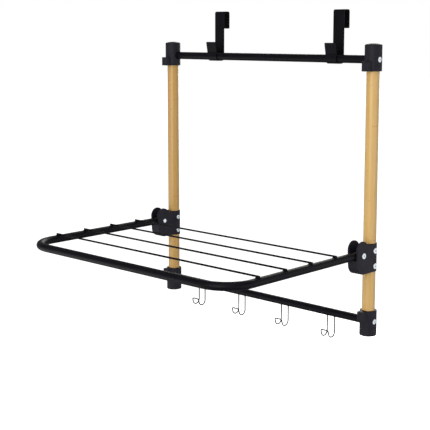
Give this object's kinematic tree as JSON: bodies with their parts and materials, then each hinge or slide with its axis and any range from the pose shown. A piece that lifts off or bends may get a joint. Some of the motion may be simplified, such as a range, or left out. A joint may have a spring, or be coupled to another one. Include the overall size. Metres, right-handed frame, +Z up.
{
  "type": "over-the-door clothes drying rack",
  "caption": "Hanging clothes rack with bamboo uprights, steel rails, a fold-up rod tray, sliding door hooks and wire hooks below.",
  "frame": {"origin": "under the middle of the whole rack's footprint, level with the lowest point of the wire hooks", "axes": "+X to the right along the rails, +Y towards the door, +Z up"},
  "size_m": [0.69, 0.538, 0.784],
  "materials": {
    "bamboo": "clear lacquered laminated bamboo",
    "black_tube": "satin black powder coat",
    "black_strap": "satin black powder coat",
    "black_wire": "satin black powder coat",
    "black_moulding": "fine moulded texture",
    "zinc_fasteners": "bright zinc plate"
  },
  "bodies": {
    "frame": {"left_upright": "bamboo", "top_left_connector": "black_moulding", "bottom_left_connector": "black_moulding", "left_bracket_outer_shell": "black_moulding", "left_bracket_inner_shell": "black_moulding", "left_bracket_bolts": "zinc_fasteners", "left_bracket_nuts": "zinc_fasteners", "left_pivot_bolt": "zinc_fasteners", "left_pivot_sleeve": "zinc_fasteners", "right_upright": "bamboo", "top_right_connector": "black_moulding", "bottom_right_connector": "black_moulding", "right_bracket_outer_shell": "black_moulding", "right_bracket_inner_shell": "black_moulding", "right_bracket_bolts": "zinc_fasteners", "right_bracket_nuts": "zinc_fasteners", "right_pivot_bolt": "zinc_fasteners", "right_pivot_sleeve": "zinc_fasteners", "top_rail": "black_tube", "top_rail_plugs": "black_moulding", "top_rail_bolts": "zinc_fasteners", "bottom_rail": "black_tube", "bottom_rail_plugs": "black_moulding", "bottom_rail_bolts": "zinc_fasteners", "wire_hook_1": "black_wire", "wire_hook_2": "black_wire", "wire_hook_3": "black_wire", "wire_hook_4": "black_wire"},
    "tray": {"left_tray_plug": "black_moulding", "right_tray_plug": "black_moulding", "tray_tube": "black_tube", "tray_rod_1": "black_wire", "tray_rod_2": "black_wire", "tray_rod_3": "black_wire", "tray_rod_4": "black_wire"},
    "left_hook": {"left_door_hook": "black_strap"},
    "right_hook": {"right_door_hook": "black_strap"}
  },
  "joints": [
    {"name": "tray_fold", "type": "hinge", "parent": "frame", "child": "tray", "pos_m": [0, 0.1825, 0.223], "axis": [-1, 0, 0], "range_deg": [0, 90]},
    {"name": "left_hook_slide", "type": "slide", "parent": "frame", "child": "left_hook", "axis": [1, 0, 0], "range_m": [-0.118, 0.14]},
    {"name": "right_hook_slide", "type": "slide", "parent": "frame", "child": "right_hook", "axis": [1, 0, 0], "range_m": [-0.183, 0.075]}
  ]
}
